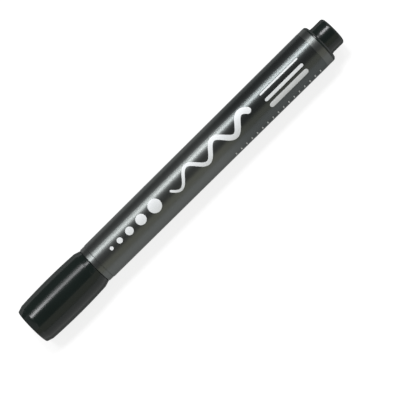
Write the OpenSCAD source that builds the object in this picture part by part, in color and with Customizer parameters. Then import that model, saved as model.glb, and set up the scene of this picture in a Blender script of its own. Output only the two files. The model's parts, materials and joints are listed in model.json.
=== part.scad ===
// Permanent marker with a push-on cap, lying on its side.
// Millimetres. The marker's axis runs along X, the capped nib towards -X and the tail towards +X.
// The origin is on the table under the middle of the capped marker, and +Z is up.

/* [Cap] */
// Length of the cap from its closed end to its mouth
cap_length = 28.4; // [26:0.1:34]
// Diameter of the cap's side where it meets the two bevels
cap_d = 14.8; // [14:0.1:17]
// Height of the crown that the side swells to at the middle of its length
cap_crown = 0.35; // [0.1:0.05:0.8]
// Length of the bevel at each end of the side
cap_bevel_length = 2.2; // [1:0.1:4]
// Depth of the bevel at each end of the side
cap_bevel_depth = 0.7; // [0.3:0.05:0.9]
// Radius that eases the edge between each bevel and the side
cap_bevel_round = 1.5; // [0.5:0.1:3]
// Radius that eases the rim of the closed end
cap_rim_round = 0.4; // [0.1:0.05:0.8]
// Thickness of the closed end
cap_end_wall = 1.4; // [0.8:0.1:2.4]
// Thickness of the side next to the bevels
cap_wall = 1.3; // [0.9:0.1:1.7]
// Number of grip ribs along the inside
cap_rib_count = 8; // [4:1:12]
// Width of one grip rib
cap_rib_width = 1; // [0.6:0.1:1.4]
// Distance from the mouth to where the grip ribs begin
cap_rib_setback = 1.6; // [0.6:0.1:4]

/* [Inner cap] */
// Thickness of the inner cap's closed end
liner_base = 0.9; // [0.6:0.1:1.6]
// Free room between the inner cap's closed end and the nib
tip_room = 4.7; // [4.2:0.1:6]
// Radial room between the inner cap and the nib holder
liner_room = 0.15; // [0.08:0.01:0.3]
// Radial clearance of the sealing lip on the nib holder
lip_clearance = 0.04; // [0.02:0.01:0.06]
// Length of the sealing lip
lip_length = 1.2; // [0.6:0.1:2.4]
// Distance that the inner cap's mouth stops short of the cone
liner_gap = 0.6; // [0.3:0.1:1.2]

/* [Nib and front section] */
// Diameter of the fibre nib
nib_d = 4.4; // [3.4:0.1:5.2]
// Length of nib that stands out of its holder
nib_out = 4.6; // [3.5:0.1:6]
// Length of the nib's rounded bullet tip
nib_taper = 3.2; // [1.8:0.1:3.4]
// Length of nib that is pushed into the filler
nib_in_filler = 8; // [4:0.5:14]
// Diameter of the nib holder that the inner cap seals on
holder_d = 7.8; // [6.8:0.1:8.4]
// Length of the nib holder
holder_length = 5; // [4:0.1:7]
// Length of the cone between the nib holder and the cap seat
cone_length = 3.8; // [2.5:0.1:5]
// Number of air grooves along the nib's bore
air_groove_count = 3; // [2:1:6]
// Width of one air groove
air_groove_width = 0.8; // [0.4:0.1:1.2]
// Depth of one air groove
air_groove_depth = 0.5; // [0.2:0.1:0.8]
// Diameter that the cap grips, on the front section's seat and on the tail plug alike
seat_d = 10.6; // [9.8:0.1:11]
// Height of the two grip rings above the rest of the cap seat
grip_ring_height = 0.2; // [0.1:0.05:0.4]
// Width of one grip ring
grip_ring_width = 1.2; // [0.6:0.1:1.6]
// Thickness of the front section's wall behind the cone
section_wall = 1.2; // [0.8:0.1:1.6]
// Width of the front section's ring that shows between the cap and the barrel
ring_width = 2; // [1:0.1:4]
// Step from the barrel's front edge down to that ring
ring_step = 0.12; // [0.05:0.01:0.3]
// Length of the front section's spigot inside the barrel
spigot_length = 7; // [4:0.5:10]

/* [Barrel] */
// Length of the barrel
barrel_length = 100.6; // [80:0.1:125]
// Diameter of the barrel at its front edge
barrel_front_d = 14.1; // [13.6:0.1:15.4]
// Diameter of the barrel at its tail
barrel_tail_d = 14.6; // [13.8:0.1:16]
// Thickness of the barrel's wall at its front edge
barrel_wall = 1.2; // [0.8:0.1:1.5]
// Radius that eases the barrel's tail edge, and the collar's edge beside it
barrel_tail_round = 0.15; // [0.05:0.05:0.3]
// Number of ribs inside the barrel that centre the filler
barrel_rib_count = 4; // [3:1:8]
// Width of one such rib
barrel_rib_width = 0.9; // [0.5:0.1:1.4]

/* [Filler] */
// Diameter of the ink filler over its film
filler_d = 10.2; // [9:0.1:10.6]
// Thickness of the film around the filler
film_thickness = 0.15; // [0.1:0.01:0.3]
// Distance that the spigot and the plug reach in over the filler's ends
filler_stop = 0.5; // [0.2:0.1:1]

/* [Tail plug] */
// Length of the tail plug that stands out of the barrel
plug_length = 6.9; // [5:0.1:10]
// Width of the tail plug's collar that closes the barrel
collar_width = 1; // [0.7:0.1:1.6]
// Step from the barrel's tail edge down to the collar
collar_step = 0.08; // [0.03:0.01:0.2]
// Width and depth of the bevel around the collar
collar_bevel = 0.55; // [0.2:0.05:0.6]
// Length of the tail plug's sleeve inside the barrel
plug_sleeve = 8.5; // [5:0.5:14]
// Thickness of the tail plug's outer wall and end
plug_wall = 1.2; // [0.8:0.1:1.6]
// Radius that eases the end of the tail plug
plug_round = 1; // [0.3:0.1:1.8]

/* [Fits] */
// Gap between the cap's mouth and the front section's ring
seam_gap = 0.1; // [0.05:0.01:0.3]
// Radial clearance of the cap's grip ribs on the seat
seat_clearance = 0.05; // [0.03:0.01:0.1]
// Clearance between pieces that are pushed together for good
fit_clearance = 0.03; // [0.01:0.01:0.05]
// Gap at each end of the filler, and between it and the barrel's ribs
filler_clearance = 0.06; // [0.03:0.01:0.15]
// Radius that eases small moulded edges
edge_round = 0.25; // [0.1:0.05:0.4]

/* [Hidden] */
$fn = 128;

// Straight pieces that stand for one eased corner, the crown of the cap and the bullet tip
arc_steps = 5;
crown_steps = 16;
tip_steps = 14;
// Depth that a rib is sunk into the wall that carries it
rib_root = 0.3;

// Radii that pieces share
cap_side_r = cap_d / 2;
cap_cavity_r = cap_side_r - cap_wall;
cap_grip_r = seat_d / 2 + seat_clearance;
liner_r = cap_grip_r - fit_clearance;
holder_r = holder_d / 2;
nib_r = nib_d / 2;
nib_bore_r = nib_r + fit_clearance;
seat_r = seat_d / 2;
seat_body_r = seat_r - grip_ring_height;
ring_r = barrel_front_d / 2 - ring_step;
barrel_bore_r = barrel_front_d / 2 - barrel_wall;
spigot_r = barrel_bore_r - fit_clearance;
filler_r = filler_d / 2;
core_r = filler_r - film_thickness - fit_clearance;
stop_bore_r = filler_r - filler_stop;
collar_r = barrel_tail_d / 2 - collar_step;

// Stations along the axis, counted from the cap's closed end
liner_start = cap_end_wall + fit_clearance;
liner_floor = liner_start + liner_base;
tip_at = liner_floor + tip_room;
holder_at = tip_at + nib_out;
cone_at = holder_at + holder_length;
liner_mouth = cone_at - liner_gap;
seat_at = cone_at + cone_length;
ring_at = cap_length + seam_gap;
barrel_at = ring_at + ring_width;
spigot_end = barrel_at + spigot_length;
tail_at = barrel_at + barrel_length;
sleeve_end = tail_at - plug_sleeve;
collar_end = tail_at + collar_width;
marker_end = tail_at + plug_length;
filler_at = spigot_end + filler_clearance;
filler_end = sleeve_end - filler_clearance;

// Height of the axis above the table, so that the thickest stretch rests on it
axis_height = max(cap_side_r + cap_crown, barrel_tail_d / 2, barrel_front_d / 2);

function unit(v) = v / norm(v);

// Station and radius of a corner, without its rounding
function spot(corner) = [corner[0], corner[1]];

// Points that ease one corner of an outline. A rounding is limited by the walls beside it.
function eased(corners, i) =
    let (
        count = len(corners),
        here = spot(corners[i]),
        back = spot(corners[(i + count - 1) % count]) - here,
        ahead = spot(corners[(i + 1) % count]) - here,
        half_angle = acos(unit(back) * unit(ahead)) / 2,
        room = min(norm(back), norm(ahead)) / 2,
        round_r = min(corners[i][2], room * tan(half_angle)),
        centre = here + unit(unit(back) + unit(ahead)) * round_r / sin(half_angle),
        first = here + unit(back) * round_r / tan(half_angle) - centre,
        last = here + unit(ahead) * round_r / tan(half_angle) - centre,
        sweep = 180 - 2 * half_angle
    )
    round_r == 0 ? [here] : [
        for (k = [0 : arc_steps])
            centre + (first * sin(sweep * (1 - k / arc_steps)) + last * sin(sweep * k / arc_steps)) / sin(sweep)
    ];

// Puts what is drawn along +Z from the cap's closed end onto the marker's lying axis
module on_axis() {
    translate([-marker_end / 2, 0, axis_height])
        rotate([0, 90, 0])
            children();
}

// A body of revolution from corners given as [station, radius, rounding]
module turned(corners) {
    outline = [for (i = [0 : len(corners) - 1]) each eased(corners, i)];
    rotate_extrude()
        polygon([for (p = outline) [p[1], p[0]]]);
}

// Evenly spaced ribs or grooves along the axis, between two radii and two stations
module spread_bars(count, width, inner_r, outer_r, from, to) {
    for (i = [0 : count - 1])
        rotate([0, 0, 360 * i / count])
            translate([inner_r, -width / 2, from])
                cube([outer_r - inner_r, width, to - from]);
}

// Corners of the crowned side, an arc that stands cap_crown proud of its two ends
function crown_corners() =
    let (
        half_span = cap_length / 2 - cap_bevel_length,
        crown_r = (half_span ^ 2 + cap_crown ^ 2) / (2 * cap_crown),
        reach = asin(half_span / crown_r)
    )
    [
        for (k = [0 : crown_steps])
            let (
                a = reach * (2 * k / crown_steps - 1),
                at_an_end = k == 0 || k == crown_steps
            )
            [
                cap_length / 2 + crown_r * sin(a),
                cap_side_r + cap_crown - crown_r * (1 - cos(a)),
                at_an_end ? cap_bevel_round : 0,
            ]
    ];

// Corners of the bullet tip, half an ellipse that ends flush with the nib's side
function bullet_corners() = [
    for (k = [0 : tip_steps])
        let (a = 90 * k / tip_steps)
            [tip_at + nib_taper * (1 - cos(a)), nib_r * sin(a), 0]
];

// Corners of one grip ring on the cap seat, which starts at a station
function grip_ring_corners(from) = [
    [from, seat_body_r, 0],
    [from + grip_ring_height, seat_r, edge_round],
    [from + grip_ring_width - grip_ring_height, seat_r, edge_round],
    [from + grip_ring_width, seat_body_r, 0],
];

// Black outer cap: a crowned cup with a bevel at each end and grip ribs along its inside
module cap_shell() {
    face_r = cap_side_r - cap_bevel_depth;
    color([0.1, 0.115, 0.11])
        on_axis() {
            turned(concat(
                [[0, 0, 0], [0, face_r, cap_rim_round]],
                crown_corners(),
                [
                    [cap_length, face_r, edge_round],
                    [cap_length, cap_cavity_r, edge_round],
                    [cap_end_wall, cap_cavity_r, edge_round],
                    [cap_end_wall, 0, 0],
                ]
            ));
            spread_bars(cap_rib_count, cap_rib_width, cap_grip_r, cap_cavity_r + rib_root,
                cap_end_wall - rib_root, cap_length - cap_rib_setback);
        }
}

// Pale sealing cup, pushed in between the grip ribs, whose lip closes on the nib holder
module inner_cap() {
    color([0.82, 0.82, 0.78])
        on_axis()
            turned([
                [liner_start, 0, 0],
                [liner_start, liner_r, edge_round],
                [liner_mouth, liner_r, edge_round],
                [liner_mouth, holder_r + lip_clearance, edge_round],
                [liner_mouth - lip_length, holder_r + lip_clearance, edge_round],
                [liner_mouth - lip_length, holder_r + liner_room, 0],
                [liner_floor, holder_r + liner_room, edge_round],
                [liner_floor, 0, 0],
            ]);
}

// Grey front section: nib holder, cone, cap seat with two grip rings, ring and spigot
module front_section() {
    seat_length = ring_at - seat_at;
    grip_ring_pitch = seat_length / 3;
    color([0.36, 0.375, 0.365])
        on_axis()
            difference() {
                turned(concat(
                    [
                        [holder_at, nib_bore_r, 0],
                        [holder_at, holder_r, 2 * edge_round],
                        [cone_at, holder_r, 2 * edge_round],
                        [seat_at, seat_body_r, 2 * edge_round],
                    ],
                    grip_ring_corners(seat_at + grip_ring_pitch - grip_ring_width / 2),
                    grip_ring_corners(seat_at + 2 * grip_ring_pitch - grip_ring_width / 2),
                    [
                        [ring_at, seat_body_r, edge_round],
                        [ring_at, ring_r, edge_round],
                        [barrel_at, ring_r, edge_round],
                        [barrel_at, spigot_r, 0],
                        [spigot_end, spigot_r, 2 * edge_round],
                        [spigot_end, stop_bore_r, 0],
                        [barrel_at, stop_bore_r, edge_round],
                        [barrel_at, seat_body_r - section_wall, 0],
                        [seat_at, seat_body_r - section_wall, edge_round],
                        [seat_at, nib_bore_r, 0],
                    ]
                ));
                spread_bars(air_groove_count, air_groove_width, 0, nib_bore_r + air_groove_depth,
                    holder_at - 1, seat_at + 1);
            }
}

// Fibre nib: a bullet tip in front, and a tail that runs through the section into the filler
module nib() {
    color([0.09, 0.09, 0.1])
        on_axis()
            turned(concat(
                bullet_corners(),
                [
                    [filler_at + nib_in_filler, nib_r, 2 * edge_round],
                    [filler_at + nib_in_filler, 0, 0],
                ]
            ));
}

// Dark grey barrel: a tube that widens towards its tail, with ribs inside that centre the filler
module barrel() {
    color([0.34, 0.355, 0.345])
        on_axis() {
            turned([
                [barrel_at, barrel_bore_r, 0],
                [barrel_at, barrel_front_d / 2, edge_round],
                [tail_at, barrel_tail_d / 2, barrel_tail_round],
                [tail_at, barrel_bore_r, edge_round],
            ]);
            spread_bars(barrel_rib_count, barrel_rib_width, filler_r + filler_clearance,
                barrel_bore_r + rib_root, spigot_end, sleeve_end);
        }
}

// Fibre core of the filler, with the hole that the nib's tail is pushed into
module filler_core() {
    color([0.16, 0.16, 0.19])
        on_axis()
            turned([
                [filler_at, nib_bore_r, 0],
                [filler_at, core_r, edge_round],
                [filler_end, core_r, edge_round],
                [filler_end, 0, 0],
                [filler_at + nib_in_filler + fit_clearance, 0, 0],
                [filler_at + nib_in_filler + fit_clearance, nib_bore_r, 0],
            ]);
}

// Clear film sleeve around the fibre core
module filler_film() {
    color([0.75, 0.77, 0.8])
        on_axis()
            turned([
                [filler_at, core_r + fit_clearance, 0],
                [filler_at, filler_r, 0],
                [filler_end, filler_r, 0],
                [filler_end, core_r + fit_clearance, 0],
            ]);
}

// Black tail plug: a sleeve inside the barrel, a collar that closes it, and a stub for the pulled cap
module tail_plug() {
    color([0.1, 0.115, 0.11])
        on_axis()
            turned([
                [marker_end, 0, 0],
                [marker_end, seat_r, plug_round],
                [collar_end, seat_r, 0],
                [collar_end, collar_r - collar_bevel, edge_round],
                [collar_end - collar_bevel, collar_r, edge_round],
                [tail_at, collar_r, barrel_tail_round],
                [tail_at, spigot_r, 0],
                [sleeve_end, spigot_r, 2 * edge_round],
                [sleeve_end, stop_bore_r, 0],
                [collar_end - plug_wall, stop_bore_r, edge_round],
                [collar_end - plug_wall, seat_r - plug_wall, 0],
                [marker_end - plug_wall, seat_r - plug_wall, 2 * edge_round],
                [marker_end - plug_wall, 0, 0],
            ]);
}

cap_shell();
inner_cap();
front_section();
nib();
barrel();
filler_core();
filler_film();
tail_plug();
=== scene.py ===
# Permanent marker with a push-on cap: its dressed pieces, their finishes, the light and the camera.
import json
import math
import bmesh
import bpy
from mathutils import Matrix, Vector, noise


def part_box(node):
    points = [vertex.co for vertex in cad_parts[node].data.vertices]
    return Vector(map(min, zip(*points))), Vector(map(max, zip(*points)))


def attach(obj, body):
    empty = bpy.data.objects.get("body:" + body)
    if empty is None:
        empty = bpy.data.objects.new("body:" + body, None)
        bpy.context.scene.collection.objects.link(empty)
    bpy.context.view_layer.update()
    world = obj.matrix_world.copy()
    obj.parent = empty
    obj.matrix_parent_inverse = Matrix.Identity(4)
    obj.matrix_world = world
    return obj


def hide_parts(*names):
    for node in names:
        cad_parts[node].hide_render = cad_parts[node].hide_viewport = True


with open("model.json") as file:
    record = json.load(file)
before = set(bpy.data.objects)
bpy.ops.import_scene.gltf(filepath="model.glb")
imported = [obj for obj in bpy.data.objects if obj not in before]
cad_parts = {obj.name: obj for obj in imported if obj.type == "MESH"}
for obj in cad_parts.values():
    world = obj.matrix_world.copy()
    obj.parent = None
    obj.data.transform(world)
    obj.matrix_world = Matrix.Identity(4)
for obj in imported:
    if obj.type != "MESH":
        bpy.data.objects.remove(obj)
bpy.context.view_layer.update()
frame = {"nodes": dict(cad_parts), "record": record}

MM = 0.001


def span(node):
    """Start, end and largest radius of a turned node along the marker's axis."""
    low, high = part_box(node)
    return low.x, high.x, (high.z - low.z) / 2


# Stations along the axis and outer radii, from the frame
CAP_START, CAP_MOUTH, CAP_R = span("cap_shell")
LINER_START, LINER_MOUTH, LINER_R = span("inner_cap")
HOLDER_FRONT, SPIGOT_END, RING_R = span("front_section")
NIB_TIP, NIB_END, NIB_R = span("nib")
BARREL_FRONT, BARREL_TAIL, BARREL_TAIL_R = span("barrel")
FILLER_R = span("filler_film")[2]
SLEEVE_FRONT, PLUG_END, COLLAR_R = span("tail_plug")
STUB_R = MM * next(
    mount["dims"]["r_mm"] for mount in frame["record"]["mounts"] if mount["name"] == "tail_stub"
)
AXIS_HEIGHT = CAP_R

# Cap
CAP_CROWN = 0.35 * MM
CAP_BEVEL_LENGTH = 2.2 * MM
CAP_BEVEL_DEPTH = 0.7 * MM
CAP_BEVEL_ROUND = 1.5 * MM
CAP_RIM_ROUND = 0.4 * MM
CAP_END_WALL = 1.4 * MM
CAP_WALL = 1.3 * MM
CAP_RIB_COUNT = 8
CAP_RIB_WIDTH = 1.0 * MM
CAP_RIB_SETBACK = 1.6 * MM
CAP_SIDE_R = CAP_R - CAP_CROWN
CAP_FACE_R = CAP_SIDE_R - CAP_BEVEL_DEPTH
CAP_CAVITY_R = CAP_SIDE_R - CAP_WALL

# Gate mark that the mould leaves in the middle of a closed end
GATE_DISH_R = 1.5 * MM
GATE_DISH_DEPTH = 0.25 * MM
GATE_STUB_R = 0.45 * MM
GATE_STUB_HEIGHT = 0.16 * MM

# Fits and small edges
EDGE_ROUND = 0.25 * MM
SEAM_ROUND = 0.12 * MM
RIB_DRAFT = 0.1 * MM
RIB_FOOT = 0.6
FIT_CLEARANCE = 0.03 * MM
SEAT_CLEARANCE = 0.05 * MM
SEAM_GAP = 0.1 * MM

# Sealing cup inside the cap
LINER_BASE = 0.9 * MM
LINER_ROOM = 0.15 * MM
LIP_CLEARANCE = 0.04 * MM
LIP_LENGTH = 1.2 * MM

# Front section
HOLDER_R = 3.9 * MM
HOLDER_LENGTH = 5.0 * MM
CONE_LENGTH = 3.8 * MM
GRIP_RING_HEIGHT = 0.2 * MM
GRIP_RING_WIDTH = 1.2 * MM
SECTION_WALL = 1.2 * MM
AIR_GROOVE_COUNT = 3
AIR_GROOVE_WIDTH = 0.8 * MM
AIR_GROOVE_DEPTH = 0.5 * MM
FILLER_STOP = 0.5 * MM
SEAT_BODY_R = STUB_R - GRIP_RING_HEIGHT
CONE_AT = HOLDER_FRONT + HOLDER_LENGTH
SEAT_AT = CONE_AT + CONE_LENGTH
RING_AT = CAP_MOUTH + SEAM_GAP
NIB_BORE_R = NIB_R + FIT_CLEARANCE
STOP_BORE_R = FILLER_R - FILLER_STOP

# Nib
NIB_TAPER = 3.2 * MM
FIBRE_DEPTH = 0.05 * MM
FIBRE_LENGTH = 4.0 * MM
FIBRES_ACROSS = 7

# Barrel
RING_STEP = 0.12 * MM
BARREL_WALL = 1.2 * MM
BARREL_FRONT_R = RING_R + RING_STEP
BARREL_BORE_R = BARREL_FRONT_R - BARREL_WALL
SLEEVE_R = BARREL_BORE_R - FIT_CLEARANCE
BARREL_RIB_COUNT = 4
BARREL_RIB_WIDTH = 0.9 * MM
FILLER_CLEARANCE = 0.06 * MM
FILM_END = BARREL_TAIL - 2.7 * MM
FILM_THICKNESS = 0.03 * MM
DARK_FIELD_START = 12.0 * MM
DARK_FIELD_FULL = 29.5 * MM

# Tail plug
COLLAR_WIDTH = 1.0 * MM
COLLAR_BEVEL = 0.55 * MM
COLLAR_END = BARREL_TAIL + COLLAR_WIDTH
PLUG_WALL = 1.2 * MM
PLUG_ROUND = 1.0 * MM
FLARE_LENGTH = 1.6 * MM
FLARE_HEIGHT = 0.2 * MM
FLARE_STEPS = 10

# How finely the pieces are cut
TURN_STEPS = 144
ARC_STEPS = 6
CROWN_STEPS = 24
BULLET_STEPS = 24
SHARP_FROM = math.radians(40)
SAME_SPOT = 0.0001 * MM


def eased(corners):
    """Outline points for corners given as (station, radius, rounding).
    A rounding is limited by its walls, and where two of them meet they share one point."""
    points = []
    for before, here, after in zip(corners[-1:] + corners[:-1], corners, corners[1:] + corners[:1]):
        spot = Vector(here[:2])
        if not here[2]:
            points.append(spot)
            continue
        back = Vector(before[:2]) - spot
        ahead = Vector(after[:2]) - spot
        half_angle = back.angle(ahead) / 2
        room = min(back.length, ahead.length) / 2
        reach = min(here[2] / math.tan(half_angle), room)
        radius = reach * math.tan(half_angle)
        inwards = (back.normalized() + ahead.normalized()).normalized()
        centre = spot + inwards * radius / math.sin(half_angle)
        first = spot + back.normalized() * reach - centre
        last = spot + ahead.normalized() * reach - centre
        sweep = math.pi - 2 * half_angle
        for step in range(ARC_STEPS + 1):
            share = step / ARC_STEPS
            mixed = first * math.sin(sweep * (1 - share)) + last * math.sin(sweep * share)
            points.append(centre + mixed / math.sin(sweep))
    pairs = zip(points[-1:] + points[:-1], points)
    return [point for before, point in pairs if (point - before).length > SAME_SPOT]


def turn_of(bar_count, bar_angle):
    """Angles round the axis, each with whether a rib or groove stands there.
    The sides of a rib or groove get a slight draft."""
    if not bar_count:
        return [(math.tau * step / TURN_STEPS, False) for step in range(TURN_STEPS)]
    turn = []
    pitch = math.tau / bar_count
    foot = bar_angle * RIB_FOOT
    clear_steps = TURN_STEPS // bar_count
    for bar in range(bar_count):
        middle = bar * pitch
        turn.append((middle - bar_angle / 2, True))
        turn.append((middle, True))
        turn.append((middle + bar_angle / 2, True))
        for step in range(clear_steps):
            share = step / (clear_steps - 1)
            turn.append((middle + foot + (pitch - 2 * foot) * share, False))
    return turn


def at(station, angle, radius):
    """A point at a station along the marker, turned from the top line towards the front side."""
    return Vector((station, -radius * math.sin(angle), AXIS_HEIGHT + radius * math.cos(angle)))


def mesh_piece(name, points, faces):
    """A smooth-shaded piece from points and faces, with normals outwards and real corners kept."""
    mesh = bpy.data.meshes.new(name)
    mesh.from_pydata(points, [], faces)
    shape = bmesh.new()
    shape.from_mesh(mesh)
    bmesh.ops.recalc_face_normals(shape, faces=shape.faces)
    shape.to_mesh(mesh)
    shape.free()
    mesh.shade_smooth()
    mesh.set_sharp_from_angle(angle=SHARP_FROM)
    piece = bpy.data.objects.new(name, mesh)
    bpy.context.scene.collection.objects.link(piece)
    weights = piece.modifiers.new("even_shading", "WEIGHTED_NORMAL")
    weights.keep_sharp = True
    return piece


def turned(name, outline, barred=(), bar_r=0.0, bar_count=0, bar_width=0.0):
    """A piece turned about the marker's axis from its outline's points.
    At the barred points of the outline, evenly spread ribs or grooves stand at their own radius."""
    turn = turn_of(bar_count, bar_width / bar_r if bar_count else 0.0)
    points = []
    rings = []
    for point in outline:
        station, radius = point
        if not radius:
            rings.append([len(points)] * len(turn))
            points.append(at(station, 0, 0))
            continue
        rings.append(range(len(points), len(points) + len(turn)))
        for angle, on_bar in turn:
            points.append(at(station, angle, bar_r if on_bar and point in barred else radius))
    faces = []
    for ring, following in zip(rings, [*rings[1:], rings[0]]):
        for here in range(len(ring)):
            face = [ring[here - 1], ring[here], following[here], following[here - 1]]
            corners = list(dict.fromkeys(face))
            if len(corners) > 2:
                faces.append(corners)
    return mesh_piece(name, points, faces)


def gate_mark(face, inwards):
    """Corners of the dish in a closed end, from the axis outwards.
    inwards is 1 or -1 along the axis."""
    floor = face + inwards * GATE_DISH_DEPTH
    top = floor - inwards * GATE_STUB_HEIGHT
    return [
        (top, 0, 0),
        (top, GATE_STUB_R, GATE_STUB_HEIGHT / 2),
        (floor, GATE_STUB_R, 0),
        (floor, GATE_DISH_R, GATE_DISH_DEPTH / 2),
        (face, GATE_DISH_R, GATE_DISH_DEPTH / 2),
    ]


def crown_corners():
    """Corners of the cap's side, an arc that stands proud of its two ends."""
    half_span = (CAP_MOUTH - CAP_START) / 2 - CAP_BEVEL_LENGTH
    middle = (CAP_MOUTH + CAP_START) / 2
    crown_r = (half_span ** 2 + CAP_CROWN ** 2) / (2 * CAP_CROWN)
    reach = math.asin(half_span / crown_r)
    corners = []
    for step in range(CROWN_STEPS + 1):
        angle = reach * (2 * step / CROWN_STEPS - 1)
        rounding = CAP_BEVEL_ROUND if step in (0, CROWN_STEPS) else 0
        station = middle + crown_r * math.sin(angle)
        corners.append((station, CAP_R - crown_r * (1 - math.cos(angle)), rounding))
    return corners


def cap_piece():
    """Crowned outer cap: a bevel at each end, grip ribs inside, a gate mark in its closed end."""
    rib_end = CAP_MOUTH - CAP_RIB_SETBACK
    cavity_end = CAP_START + CAP_END_WALL
    grip_r = STUB_R + SEAT_CLEARANCE
    outline = eased([
        *gate_mark(CAP_START, 1),
        (CAP_START, CAP_FACE_R, CAP_RIM_ROUND),
        *crown_corners(),
        (CAP_MOUTH, CAP_FACE_R, EDGE_ROUND),
        (CAP_MOUTH, CAP_CAVITY_R, EDGE_ROUND),
        (rib_end + RIB_DRAFT, CAP_CAVITY_R, 0),
        (rib_end, CAP_CAVITY_R, 0),
        (cavity_end, CAP_CAVITY_R, EDGE_ROUND),
        (cavity_end, 0, 0),
    ])
    inside = [
        point for point in outline
        if cavity_end <= point.x <= rib_end and grip_r < point.y <= CAP_CAVITY_R
    ]
    return turned("moulded_cap", outline, inside, grip_r, CAP_RIB_COUNT, CAP_RIB_WIDTH)


def liner_piece():
    """Sealing cup inside the cap, whose lip closes on the nib holder."""
    bore_r = HOLDER_R + LINER_ROOM
    lip_r = HOLDER_R + LIP_CLEARANCE
    floor = LINER_START + LINER_BASE
    return turned("sealing_cup", eased([
        (LINER_START, 0, 0),
        (LINER_START, LINER_R, EDGE_ROUND),
        (LINER_MOUTH, LINER_R, EDGE_ROUND),
        (LINER_MOUTH, lip_r, EDGE_ROUND),
        (LINER_MOUTH - LIP_LENGTH, lip_r, EDGE_ROUND),
        (LINER_MOUTH - LIP_LENGTH, bore_r, 0),
        (floor, bore_r, EDGE_ROUND),
        (floor, 0, 0),
    ]))


def grip_ring_corners(middle):
    """Corners of one grip ring on the cap's seat."""
    start = middle - GRIP_RING_WIDTH / 2
    end = middle + GRIP_RING_WIDTH / 2
    return [
        (start, SEAT_BODY_R, 0),
        (start + GRIP_RING_HEIGHT, STUB_R, EDGE_ROUND),
        (end - GRIP_RING_HEIGHT, STUB_R, EDGE_ROUND),
        (end, SEAT_BODY_R, 0),
    ]


def section_piece():
    """Front section: nib holder with air grooves, cone, seat with two grip rings, ring and spigot."""
    pitch = (RING_AT - SEAT_AT) / 3
    cavity_r = SEAT_BODY_R - SECTION_WALL
    outline = eased([
        (HOLDER_FRONT, NIB_BORE_R, 0),
        (HOLDER_FRONT, HOLDER_R, 2 * EDGE_ROUND),
        (CONE_AT, HOLDER_R, 2 * EDGE_ROUND),
        (SEAT_AT, SEAT_BODY_R, 2 * EDGE_ROUND),
        *grip_ring_corners(SEAT_AT + pitch),
        *grip_ring_corners(SEAT_AT + 2 * pitch),
        (RING_AT, SEAT_BODY_R, EDGE_ROUND),
        (RING_AT, RING_R, SEAM_ROUND),
        (BARREL_FRONT, RING_R, SEAM_ROUND),
        (BARREL_FRONT, SLEEVE_R, 0),
        (SPIGOT_END, SLEEVE_R, 2 * EDGE_ROUND),
        (SPIGOT_END, STOP_BORE_R, 0),
        (BARREL_FRONT, STOP_BORE_R, EDGE_ROUND),
        (BARREL_FRONT, cavity_r, 0),
        (SEAT_AT, cavity_r, EDGE_ROUND),
        (SEAT_AT, NIB_BORE_R, 0),
    ])
    bore = (outline[0], outline[-1])
    groove_r = NIB_BORE_R + AIR_GROOVE_DEPTH
    return turned("front_moulding", outline, bore, groove_r, AIR_GROOVE_COUNT, AIR_GROOVE_WIDTH)


def nib_piece():
    """Bullet nib whose bonded fibres run along it as fine flutes."""
    corners = []
    for step in range(BULLET_STEPS + 1):
        angle = math.pi / 2 * step / BULLET_STEPS
        corners.append((NIB_TIP + NIB_TAPER * (1 - math.cos(angle)), NIB_R * math.sin(angle), 0))
    corners += [(HOLDER_FRONT, NIB_R, 0), (NIB_END, NIB_R, 2 * EDGE_ROUND), (NIB_END, 0, 0)]
    piece = turned("fibre_nib", eased(corners))
    for vertex in piece.data.vertices:
        across = Vector((vertex.co.y, vertex.co.z - AXIS_HEIGHT))
        if across.length > 0:
            spot = across / NIB_R * FIBRES_ACROSS
            fibre = noise.noise(Vector((*spot, vertex.co.x / FIBRE_LENGTH)))
            across -= across.normalized() * FIBRE_DEPTH * max(0, fibre) * across.length / NIB_R
            vertex.co.y = across.x
            vertex.co.z = AXIS_HEIGHT + across.y
    return piece


def barrel_radius(station):
    """Outer radius of the barrel's cone at a station."""
    share = (station - BARREL_FRONT) / (BARREL_TAIL - BARREL_FRONT)
    return BARREL_FRONT_R + (BARREL_TAIL_R - BARREL_FRONT_R) * share


def barrel_piece():
    """Barrel tube that widens towards its tail, with the thin film over all but its tail end."""
    rib_r = FILLER_R + FILLER_CLEARANCE
    film_step = FILM_END + FILM_THICKNESS
    outline = eased([
        (BARREL_FRONT, BARREL_BORE_R, 0),
        (BARREL_FRONT, BARREL_FRONT_R, SEAM_ROUND),
        (FILM_END, barrel_radius(FILM_END), 0),
        (film_step, barrel_radius(film_step) - FILM_THICKNESS, 0),
        (BARREL_TAIL, BARREL_TAIL_R - FILM_THICKNESS, SEAM_ROUND),
        (BARREL_TAIL, BARREL_BORE_R, EDGE_ROUND),
        (SLEEVE_FRONT, BARREL_BORE_R, 0),
        (SLEEVE_FRONT - RIB_DRAFT, BARREL_BORE_R, 0),
        (SPIGOT_END + RIB_DRAFT, BARREL_BORE_R, 0),
        (SPIGOT_END, BARREL_BORE_R, 0),
    ])
    return turned("barrel_tube", outline, outline[-3:-1], rib_r, BARREL_RIB_COUNT, BARREL_RIB_WIDTH)


def flare_corners():
    """Corners of the shallow flare at the stub's root, from the stub towards the collar."""
    corners = []
    for step in range(FLARE_STEPS + 1):
        share = step / FLARE_STEPS
        station = COLLAR_END + FLARE_LENGTH * (1 - share)
        corners.append((station, STUB_R + FLARE_HEIGHT * share ** 2, 0))
    return corners


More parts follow.
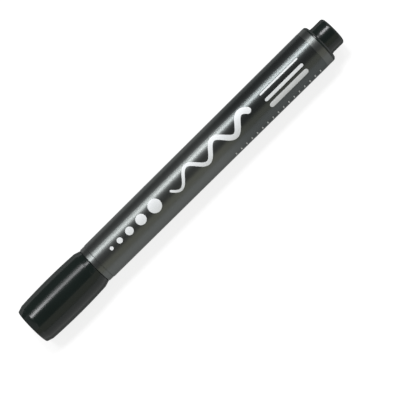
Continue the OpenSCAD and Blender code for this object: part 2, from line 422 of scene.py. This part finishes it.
def plug_piece():
    """Tail plug: a sleeve inside the barrel, a collar that closes it and a stub with a gate mark."""
    hollow_r = STUB_R - PLUG_WALL
    return turned("tail_moulding", eased([
        *gate_mark(PLUG_END, -1),
        (PLUG_END, STUB_R, PLUG_ROUND),
        *flare_corners(),
        (COLLAR_END, COLLAR_R - COLLAR_BEVEL, EDGE_ROUND),
        (COLLAR_END - COLLAR_BEVEL, COLLAR_R, EDGE_ROUND),
        (BARREL_TAIL, COLLAR_R, SEAM_ROUND),
        (BARREL_TAIL, SLEEVE_R, 0),
        (SLEEVE_FRONT, SLEEVE_R, 2 * EDGE_ROUND),
        (SLEEVE_FRONT, STOP_BORE_R, 0),
        (COLLAR_END - PLUG_WALL, STOP_BORE_R, EDGE_ROUND),
        (COLLAR_END - PLUG_WALL, hollow_r, 0),
        (PLUG_END - PLUG_WALL, hollow_r, 2 * EDGE_ROUND),
        (PLUG_END - PLUG_WALL, 0, 0),
    ]))


# The eye leans from overhead towards the marker's front, and the print faces the eye
VIEW_LEAN = math.radians(25)

# Printed decoration, in places along the barrel and round it from the line that faces the eye
PRINT_HEIGHT = 0.02 * MM
PRINT_ROWS = 6
PRINT_BLUNTNESS = 0.01
PRINT_STEPS = 160
DOT_STEPS = 28
DOT_SIZES = [1.3 * MM, 2.0 * MM, 2.8 * MM, 3.7 * MM, 4.8 * MM]
DOTS_START = -33.0 * MM
DOT_GAP = 2.0 * MM
WAVE_START = -6.0 * MM
WAVE_END = 31.0 * MM
WAVE_COUNT = 3
WAVE_HEIGHT = 2.3 * MM
WAVE_THIN = 0.8 * MM
WAVE_BOLD = 2.3 * MM
RULE_START = 36.5 * MM
RULE_LENGTH = 17.0 * MM
RULE_MIDDLE = 1.0 * MM
RULE_PITCH = 2.6 * MM
RULE_WIDTHS = [0.6 * MM, 1.1 * MM, 1.8 * MM]
TICK_LINE = 8.3 * MM
TICK_START = 18.0 * MM
TICK_PITCH = 2.4 * MM
TICK_COUNT = 17
TICK_WIDTH = 0.4 * MM
TICK_LENGTH = 1.4 * MM


def stroke(path, width_at):
    """Rows of points across a printed stroke with round ends, on a path of (along, round) places."""
    travelled = [0.0]
    for before, after in zip(path, path[1:]):
        travelled.append(travelled[-1] + (after - before).length)
    rows = []
    for place, spot in enumerate(path):
        ahead = path[min(place + 1, len(path) - 1)] - path[max(place - 1, 0)]
        across = Vector((-ahead.y, ahead.x)).normalized()
        half_width = width_at(travelled[place] / travelled[-1]) / 2
        end_room = min(travelled[place], travelled[-1] - travelled[place], half_width)
        half_width *= math.sqrt(max(PRINT_BLUNTNESS, 1 - (1 - end_room / half_width) ** 2))
        sides = [2 * row / PRINT_ROWS - 1 for row in range(PRINT_ROWS + 1)]
        rows.append([spot + across * half_width * side for side in sides])
    return rows


def eased_steps(count):
    """Shares from 0 to 1 that crowd towards both ends, so that round ends stay round."""
    return [(1 - math.cos(math.pi * step / count)) / 2 for step in range(count + 1)]


def printed(name, strokes):
    """Thin printed layer on the barrel's cone, from strokes' rows of (along, round) places."""
    points = []
    faces = []
    for rows in strokes:
        for lift in (PRINT_HEIGHT, -PRINT_HEIGHT):
            base = len(points)
            for row in rows:
                for along, round_it in row:
                    radius = barrel_radius(along)
                    points.append(at(along, VIEW_LEAN + round_it / radius, radius + lift))
            width = len(rows[0])
            for here in range(len(rows) - 1):
                for side in range(width - 1):
                    corner = base + here * width + side
                    faces.append([corner, corner + 1, corner + width + 1, corner + width])
        size = len(rows) * width
        top = len(points) - 2 * size
        rim = [*range(width), *(row * width + width - 1 for row in range(1, len(rows)))]
        rim += [size - 1 - side for side in range(1, width)]
        rim += [row * width for row in range(len(rows) - 2, 0, -1)]
        for before, after in zip(rim, rim[1:] + rim[:1]):
            faces.append([top + before, top + after, top + size + after, top + size + before])
    return mesh_piece(name, points, faces)


def straight_stroke(start, end, width):
    """A printed stroke of one width between two (along, round) places."""
    path = [start.lerp(end, share) for share in eased_steps(DOT_STEPS)]
    return stroke(path, lambda share: width)


def dot_row():
    """Five printed dots that grow along the barrel, a gap apart."""
    dots = []
    edge = DOTS_START
    for size in DOT_SIZES:
        dots.append(straight_stroke(Vector((edge, 0)), Vector((edge + size, 0)), size))
        edge += size + DOT_GAP
    return printed("print_dots", dots)


def wave_stroke():
    """One bold printed wave that swells from a thin start to a broad end."""
    path = []
    for share in eased_steps(PRINT_STEPS):
        swing = WAVE_HEIGHT * math.sin(math.tau * WAVE_COUNT * share)
        path.append(Vector((WAVE_START + (WAVE_END - WAVE_START) * share, swing)))
    swell = stroke(path, lambda share: WAVE_THIN + (WAVE_BOLD - WAVE_THIN) * share)
    return printed("print_wave", [swell])


def rule_set():
    """Three printed rules of growing width, near the tail."""
    rules = []
    for place, width in enumerate(RULE_WIDTHS):
        line = RULE_MIDDLE + (place - 1) * RULE_PITCH
        start = Vector((RULE_START, line))
        end = Vector((RULE_START + RULE_LENGTH, line))
        rules.append(straight_stroke(start, end, width))
    return printed("print_rules", rules)


def tick_row():
    """A row of fine printed ticks low on the barrel's side, towards the tail."""
    ticks = []
    for place in range(TICK_COUNT):
        along = TICK_START + place * TICK_PITCH
        start = Vector((along, TICK_LINE - TICK_LENGTH / 2))
        end = Vector((along, TICK_LINE + TICK_LENGTH / 2))
        ticks.append(straight_stroke(start, end, TICK_WIDTH))
    return printed("print_ticks", ticks)


class Value:
    """A socket's value in a finish, with the arithmetic that the finishes use."""

    def __init__(self, finish, socket):
        self.finish = finish
        self.socket = socket

    def maths(self, operation, *others):
        """The result of a Math node on this value and others."""
        return self.finish.node("Math", {"operation": operation}, dict(enumerate([self, *others])))

    def __add__(self, other):
        return self.maths("ADD", other)

    __radd__ = __add__

    def __sub__(self, other):
        return self.maths("SUBTRACT", other)

    def __rsub__(self, other):
        return self.finish.node("Math", {"operation": "SUBTRACT"}, {0: other, 1: self})

    def __mul__(self, other):
        return self.maths("MULTIPLY", other)

    __rmul__ = __mul__


class Finish:
    """One procedural finish: a node tree, its shader and the parts that finishes share."""

    def __init__(self, owner):
        owner.use_nodes = True
        self.owner = owner
        self.tree = owner.node_tree

    def node(self, kind, settings, sockets, output=0):
        """An output of a new node of a kind, whose settings are set first and then its sockets."""
        made = self.tree.nodes.new("ShaderNode" + kind)
        for name, setting in settings.items():
            setattr(made, name, setting)
        for name, value in sockets.items():
            self.feed(made.inputs[name], value)
        return Value(self, made.outputs[output])

    def feed(self, socket, value):
        """Links a value to a socket, or sets a number or colour on it."""
        if isinstance(value, Value):
            self.tree.links.new(value.socket, socket)
        else:
            socket.default_value = value

    def surface(self, **sockets):
        """Sets the surface shader's sockets, named with underscores for spaces."""
        shader = self.tree.nodes["Principled BSDF"]
        for name, value in sockets.items():
            self.feed(shader.inputs[name.replace("_", " ")], value)
        return self.owner

    def place(self):
        """Where a spot of the surface is on the marker, in metres."""
        return self.node("TexCoord", {}, {}, "Object")

    def along(self):
        """Station of a spot of the surface along the marker."""
        return self.node("SeparateXYZ", {}, {"Vector": self.place()}, "X")

    def grain(self, size, stretch=(1, 1, 1), detail=2.0):
        """Soft noise from 0 to 1 with spots of a size in metres, stretched along each axis."""
        scale = [1 / (size * share) for share in stretch]
        spots = self.node("VectorMath", {"operation": "MULTIPLY"}, {0: self.place(), 1: scale})
        return self.node("TexNoise", {}, {"Vector": spots, "Scale": 1.0, "Detail": detail}, "Fac")

    def cells(self, feature, size, output):
        """An output of a cell pattern with cells of a size in metres."""
        sockets = {"Vector": self.place(), "Scale": 1 / size}
        return self.node("TexVoronoi", {"feature": feature}, sockets, output)

    def flakes(self, size):
        """A random value from 0 to 1 in each small cell."""
        return self.node("SeparateColor", {}, {"Color": self.cells("F1", size, "Color")}, "Red")

    def hairlines(self, size, width):
        """Thin crossing scratches: 1 on a line and 0 between them. Width is a share of size."""
        return 1 - self.ramp(self.cells("DISTANCE_TO_EDGE", size, "Distance"), 0.0, width)

    def ramp(self, value, low, high):
        """0 below low, 1 above high, and smooth between them."""
        settings = {"interpolation_type": "SMOOTHSTEP"}
        return self.node("MapRange", settings, {"Value": value, "From Min": low, "From Max": high})

    def grazing(self, low, high):
        """0 where the surface faces the eye, 1 where it turns away."""
        return self.ramp(self.node("LayerWeight", {}, {"Blend": 0.5}, "Facing"), low, high)

    def near(self, value, spot, reach):
        """1 at a spot, falling to 0 at a distance."""
        return 1 - self.ramp((value - spot).maths("ABSOLUTE"), 0.0, reach)

    def tint(self, share, first, second):
        """Colour mixed from two by a share."""
        colours = {0: share, 6: as_colour(first), 7: as_colour(second)}
        return self.node("Mix", {"data_type": "RGBA"}, colours, 2)

    def bump(self, height, depth, strength):
        """Normal raised by a height from 0 to 1, over a depth in metres."""
        return self.node("Bump", {}, {"Strength": strength, "Distance": depth, "Height": height})


def as_colour(colour):
    """A colour link as it is, or three numbers with an alpha."""
    return colour if isinstance(colour, Value) else (*colour, 1.0)


# Gloss black. Haze is what a mark adds to the roughness. Facing is 0 towards the eye and 1 edge on
BLACK = (0.0048, 0.0083, 0.0072)
BLACK_CLOUDED = [1.35 * part for part in BLACK]
BLACK_WORN = (0.022, 0.025, 0.024)
BLACK_IOR = 1.35
BLACK_ROUGHNESS = 0.17
PLUG_HAZE = 0.04
BLACK_CLOUD_SIZE = 9 * MM
BLACK_CLOUD_HAZE = 0.05
RUB_REACH = 0.45 * MM
RUB_PATCH_SIZE = 2.2 * MM
RUB_PATCHES = (0.45, 0.7)
RUB_PALENESS = 0.7
RUB_HAZE = 0.12
HAIRLINE_SPACING = 3.4 * MM
HAIRLINE_WIDTH = 0.02
HAIRLINE_PATCH_SIZE = 5 * MM
HAIRLINE_PATCHES = (0.5, 0.7)
HAIRLINE_HAZE = 0.10
HAIRLINE_SHARE = 0.4
PEEL_SIZE = 0.9 * MM
PEEL_DEPTH = 0.002 * MM
SOFT_FACING = (0.36, 0.66)
SOFT_HAZE = 0.5


def black_plastic(name, edges, haze=0.0):
    """Gloss moulded black with faint peel and hairlines, rubbed paler at its edges.
    Its gloss softens where it turns away."""
    finish = Finish(bpy.data.materials.new(name))
    along = finish.along()
    patches = finish.ramp(finish.grain(RUB_PATCH_SIZE, detail=4.0), *RUB_PATCHES)
    rubbed = sum(finish.near(along, edge, RUB_REACH) for edge in edges) * patches
    scratched = finish.ramp(finish.grain(HAIRLINE_PATCH_SIZE), *HAIRLINE_PATCHES)
    lines = finish.hairlines(HAIRLINE_SPACING, HAIRLINE_WIDTH) * scratched
    cloud = finish.grain(BLACK_CLOUD_SIZE, detail=3.0)
    body = finish.tint(cloud, BLACK, BLACK_CLOUDED)
    marks = cloud * BLACK_CLOUD_HAZE + lines * HAIRLINE_HAZE + rubbed * RUB_HAZE
    peel = finish.grain(PEEL_SIZE)
    return finish.surface(
        Base_Color=finish.tint(rubbed * RUB_PALENESS, body, BLACK_WORN),
        Roughness=BLACK_ROUGHNESS + haze + marks + finish.grazing(*SOFT_FACING) * SOFT_HAZE,
        IOR=BLACK_IOR,
        Normal=finish.bump(peel - lines * HAIRLINE_SHARE, PEEL_DEPTH, strength=0.4),
    )


# Satin pearl grey
PEARL = (0.105, 0.1125, 0.1090)
PEARL_SHADE = (0.0905, 0.0965, 0.0940)
PEARL_EDGE = (0.48, 0.48, 0.48, 1)
DARK_PEARL = (0.0615, 0.0680, 0.0675)
PEARL_METALLIC = 0.92
PEARL_ROUGHNESS = 0.27
PEARL_CLOUD_SIZE = 6 * MM
PEARL_CLOUD_HAZE = 0.05
FLAKE_SIZE = 0.09 * MM
FLAKE_HAZE = 0.04
FLAKE_SHARE = 0.6
STREAK_WIDTH = 0.5 * MM
STREAK_STRETCH = (30, 1, 1)
STREAK_SHARE = 0.4
RIPPLE_SIZE = 0.35 * MM
RIPPLE_SHARE = 0.9
RIPPLE_DEPTH = 0.003 * MM
FLAKE_RELIEF = 0.1
FADE_RAGGEDNESS = 1.5 * MM
BARE_HAZE = 0.04
FILM_GLOSS = 0.03


def pearl_plastic(name, field_from=None):
    """Satin pearl grey with fine flakes. From a station on it darkens towards the tail,
    up to the film's end."""
    finish = Finish(bpy.data.materials.new(name))
    along = finish.along()
    streaks = finish.grain(STREAK_WIDTH, stretch=STREAK_STRETCH)
    flakes = finish.flakes(FLAKE_SIZE)
    cloud = finish.grain(PEARL_CLOUD_SIZE, detail=3.0)
    colour = finish.tint(flakes * FLAKE_SHARE + streaks * STREAK_SHARE, PEARL_SHADE, PEARL)
    roughness = PEARL_ROUGHNESS + cloud * PEARL_CLOUD_HAZE + flakes * FLAKE_HAZE
    height = finish.grain(RIPPLE_SIZE) * RIPPLE_SHARE + flakes * FLAKE_RELIEF
    if field_from is not None:
        fade = finish.ramp(along + (streaks - 0.5) * FADE_RAGGEDNESS, field_from, DARK_FIELD_FULL)
        bare = finish.ramp(along, FILM_END, FILM_END + 2 * FILM_THICKNESS)
        dark = fade * (1 - bare)
        colour = finish.tint(dark, colour, DARK_PEARL)
        roughness = roughness + bare * BARE_HAZE - dark * FILM_GLOSS
    return finish.surface(
        Base_Color=colour,
        Metallic=PEARL_METALLIC,
        Roughness=roughness,
        Specular_Tint=PEARL_EDGE,
        Normal=finish.bump(height, RIPPLE_DEPTH, strength=0.5),
    )


# Pale silver ink
SILVER = (0.70, 0.725, 0.735)
SILVER_SHADE = (0.62, 0.64, 0.65)
SPECKLE_SIZE = 0.25 * MM
SPECKLE_SHARE = 0.6
SPECKLE_HAZE = 0.12
INK_CLOUD_SIZE = 4 * MM
INK_CLOUD_SHARE = 0.4
INK_COVER = (0.3, 0.62)
INK_ROUGHNESS = 0.40
INK_RELIEF = 0.006 * MM


def silver_print(name):
    """Pale silver ink: slightly uneven, and thinner where the print is rubbed."""
    finish = Finish(bpy.data.materials.new(name))
    speckle = finish.grain(SPECKLE_SIZE, detail=4.0)
    cloud = finish.grain(INK_CLOUD_SIZE, detail=3.0)
    cover = finish.ramp(speckle * SPECKLE_SHARE + cloud * INK_CLOUD_SHARE, *INK_COVER)
    return finish.surface(
        Base_Color=finish.tint(cover, SILVER_SHADE, SILVER),
        Roughness=INK_ROUGHNESS + speckle * SPECKLE_HAZE,
        Normal=finish.bump(speckle, INK_RELIEF, strength=0.6),
    )


# Natural plastic of the sealing cup
MILKY = (0.66, 0.66, 0.60)
MILKY_SHADE = (0.52, 0.52, 0.46)
MILKY_CLOUD_SIZE = 3 * MM
MILKY_PEEL_SIZE = 0.4 * MM
MILKY_PEEL_HAZE = 0.10
MILKY_PEEL_DEPTH = 0.01 * MM
MILKY_ROUGHNESS = 0.40
MILKY_GLOW = 0.25
MILKY_GLOW_REACH = (2 * MM, 2 * MM, 1.6 * MM)


def milky_plastic(name):
    """Natural moulded plastic, milky and waxy."""
    finish = Finish(bpy.data.materials.new(name))
    cloud = finish.grain(MILKY_CLOUD_SIZE, detail=3.0)
    peel = finish.grain(MILKY_PEEL_SIZE)
    return finish.surface(
        Base_Color=finish.tint(cloud, MILKY_SHADE, MILKY),
        Roughness=MILKY_ROUGHNESS + peel * MILKY_PEEL_HAZE,
        Subsurface_Weight=MILKY_GLOW,
        Subsurface_Radius=MILKY_GLOW_REACH,
        Normal=finish.bump(peel, MILKY_PEEL_DEPTH, strength=0.5),
    )


# Inked fibre of the nib and the filler
INKED_FIBRE = (0.006, 0.006, 0.008)
DRY_FIBRE = (0.030, 0.030, 0.034)
THREAD_WIDTH = 0.12 * MM
THREAD_STRETCH = (24, 1, 1)
THREAD_HAZE = 0.25
THREAD_DEPTH = 0.05 * MM
SOAK_SIZE = 1.6 * MM
FIBRE_ROUGHNESS = 0.62


def inked_fibre(name):
    """Bonded fibres soaked in ink, drawn out along the nib."""
    finish = Finish(bpy.data.materials.new(name))
    threads = finish.grain(THREAD_WIDTH, stretch=THREAD_STRETCH, detail=3.0)
    soaked = finish.grain(SOAK_SIZE)
    return finish.surface(
        Base_Color=finish.tint(threads * soaked, INKED_FIBRE, DRY_FIBRE),
        Roughness=FIBRE_ROUGHNESS + threads * THREAD_HAZE,
        Normal=finish.bump(threads, THREAD_DEPTH, strength=0.8),
    )


# Clear film round the filler
WRAP_TINT = (0.50, 0.53, 0.58)
WRAP_TINT_CREASED = (0.62, 0.64, 0.68)
WRAP_ROUGHNESS = 0.12
WRAP_COVER = 0.30
CREASE_SIZE = 1.4 * MM
CREASE_STRETCH = (6, 1, 1)
CREASE_HAZE = 0.15
CREASE_COVER = 0.15
CREASE_DEPTH = 0.05 * MM


def clear_film(name):
    """Thin clear film, crinkled where it is wrapped round the fibre."""
    finish = Finish(bpy.data.materials.new(name))
    creases = finish.grain(CREASE_SIZE, stretch=CREASE_STRETCH, detail=3.0)
    return finish.surface(
        Base_Color=finish.tint(creases, WRAP_TINT, WRAP_TINT_CREASED),
        Roughness=WRAP_ROUGHNESS + creases * CREASE_HAZE,
        Alpha=WRAP_COVER + creases * CREASE_COVER,
        Normal=finish.bump(creases, CREASE_DEPTH, strength=0.7),
    )


# Floor
FLOOR_WHITE = (0.22, 0.22, 0.22)
FLOOR_MOTTLED = [0.97 * part for part in FLOOR_WHITE]
FLOOR_GLOW = 0.82
FLOOR_ROUGHNESS = 0.8
MOTTLE_SIZE = 0.3
MOTTLE_HAZE = 0.1


def white_floor(name):
    """Pale floor that shows white to the eye and in reflections, and keeps the marker's shadow."""
    finish = Finish(bpy.data.materials.new(name))
    seen = 0.0
    for ray in ("Is Camera Ray", "Is Glossy Ray", "Is Transmission Ray"):
        seen = finish.node("LightPath", {}, {}, ray) + seen
    glow = seen.maths("MINIMUM", 1.0) * FLOOR_GLOW
    mottle = finish.grain(MOTTLE_SIZE, detail=3.0)
    return finish.surface(
        Base_Color=finish.tint(mottle, FLOOR_WHITE, FLOOR_MOTTLED),
        Roughness=FLOOR_ROUGHNESS + mottle * MOTTLE_HAZE,
        Specular_IOR_Level=0.0,
        Emission_Color=finish.tint(glow, (0, 0, 0), (1, 1, 1)),
        Emission_Strength=1.0,
    )


def fit(piece, body, finish, stands_for=None):
    """Gives a piece its finish and its body, and hides the CAD node that it stands for."""
    piece.data.materials.append(finish)
    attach(piece, body)
    if stands_for:
        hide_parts(stands_for)


cap_edges = [CAP_START, CAP_START + CAP_BEVEL_LENGTH, CAP_MOUTH - CAP_BEVEL_LENGTH, CAP_MOUTH]
fibre = inked_fibre("inked_fibre")
silver = silver_print("silver_print")
cap_black = black_plastic("cap_black", cap_edges)
plug_black = black_plastic("plug_black", [PLUG_END], PLUG_HAZE)
section_pearl = pearl_plastic("section_pearl")
barrel_pearl = pearl_plastic("barrel_pearl", DARK_FIELD_START)

fit(cap_piece(), "cap", cap_black, "cap_shell")
fit(liner_piece(), "cap", milky_plastic("liner_milky"), "inner_cap")
fit(section_piece(), "marker", section_pearl, "front_section")
fit(nib_piece(), "marker", fibre, "nib")
fit(barrel_piece(), "marker", barrel_pearl, "barrel")
fit(plug_piece(), "marker", plug_black, "tail_plug")
for print_piece in (dot_row(), wave_stroke(), rule_set(), tick_row()):
    fit(print_piece, "marker", silver)
for node, finish in (("filler_core", fibre), ("filler_film", clear_film("filler_film"))):
    frame["nodes"][node].data.materials.clear()
    frame["nodes"][node].data.materials.append(finish)

# Light: key strips in a row above and behind the marker, dim boxes in front and at its ends,
# and a grey room
WORLD_LEVEL = 0.155
KEY_LEVEL = 9.4
KEY_TINT = (1.0, 1.0, 1.02)
KEY_TILT = 17
KEY_WIDTH = 0.31
KEY_STRIPS = {
    # Name: distance, place along the marker, length, brightness against KEY_LEVEL
    "key_strip": (1.2, -0.065, 0.63, 1.0),
    "cap_light": (1.18, -0.34, 0.20, 1.45),
    "tail_light": (1.18, 0.20, 0.20, 2.3),
    "mouth_light": (1.2, 0.70, 0.23, 1.6),
}
BOX_DISTANCE = 0.9
FILL_LEVEL = 0.63
FILL_TINT = (1.04, 1.0, 0.81)
FILL_TILT = -70
FILL_LENGTH = 1.8
FILL_WIDTH = 0.58
END_LEVEL = 0.62
END_TILT = 62
END_LENGTH = 1.4
END_WIDTH = 0.6
FLOOR_SIZE = 8.0


def tilted(tilt, side=(0, 1)):
    """Direction tilted from overhead, in degrees, to a side of the marker given as (along, back)."""
    level_part = math.sin(math.radians(tilt))
    return Vector((side[0] * level_part, side[1] * level_part, math.cos(math.radians(tilt))))


def light_box(name, towards, distance, along, length, width, level, colour):
    """A soft box of an even brightness, in a direction from a place along the marker."""
    lamp = bpy.data.lights.new(name, "AREA")
    lamp.shape = "RECTANGLE"
    lamp.size = length
    lamp.size_y = width
    lamp.energy = level * math.pi * length * width
    lamp.color = colour
    box = bpy.data.objects.new(name, lamp)
    box.location = Vector((along, 0, AXIS_HEIGHT)) + towards * distance
    box.rotation_euler = towards.to_track_quat("Z", "Y").to_euler()
    box.visible_camera = False
    bpy.context.scene.collection.objects.link(box)


to_key = tilted(KEY_TILT)
for strip, (distance, along, length, share) in KEY_STRIPS.items():
    light_box(strip, to_key, distance, along, length, KEY_WIDTH, share * KEY_LEVEL, KEY_TINT)
to_fill = tilted(FILL_TILT)
light_box("fill_box", to_fill, BOX_DISTANCE, 0.0, FILL_LENGTH, FILL_WIDTH, FILL_LEVEL, FILL_TINT)
for box_name, side in (("cap_end_box", (-1, 0)), ("tail_end_box", (1, 0))):
    to_end = tilted(END_TILT, side)
    light_box(box_name, to_end, BOX_DISTANCE, 0.0, END_LENGTH, END_WIDTH, END_LEVEL, KEY_TINT)

room = Finish(bpy.data.worlds.new("grey_room"))
room.feed(room.tree.nodes["Background"].inputs["Color"], (WORLD_LEVEL, WORLD_LEVEL, WORLD_LEVEL, 1))
bpy.context.scene.world = room.owner

half_floor = FLOOR_SIZE / 2
floor_mesh = bpy.data.meshes.new("floor")
floor_corners = [(x * half_floor, y * half_floor, 0) for x, y in ((-1, -1), (1, -1), (1, 1), (-1, 1))]
floor_mesh.from_pydata(floor_corners, [], [(0, 1, 2, 3)])
floor = bpy.data.objects.new("floor", floor_mesh)
floor.data.materials.append(white_floor("white_floor"))
bpy.context.scene.collection.objects.link(floor)

# Camera: leaned towards the front, and turned so that the tail points to the picture's upper right
PICTURE_SIZE = 400
FOCAL_PIXELS = 2000
PIXEL = 0.3268 * MM
AXIS_TURN = math.radians(44.66)
PICTURE_CENTRE = (-1.05 * MM, -8.94 * MM)

lens = bpy.data.cameras.new("camera")
lens.angle = 2 * math.atan(PICTURE_SIZE / 2 / FOCAL_PIXELS)
camera = bpy.data.objects.new("camera", lens)
to_axis = Matrix.Translation((0, 0, AXIS_HEIGHT))
to_eye = Matrix.Translation((*PICTURE_CENTRE, FOCAL_PIXELS * PIXEL))
lean = Matrix.Rotation(VIEW_LEAN, 4, "X")
turn = Matrix.Rotation(-AXIS_TURN, 4, "Z")
camera.matrix_world = to_axis @ lean @ to_eye @ turn
bpy.context.scene.collection.objects.link(camera)
bpy.context.scene.camera = camera
bpy.context.scene.view_settings.view_transform = "Standard"
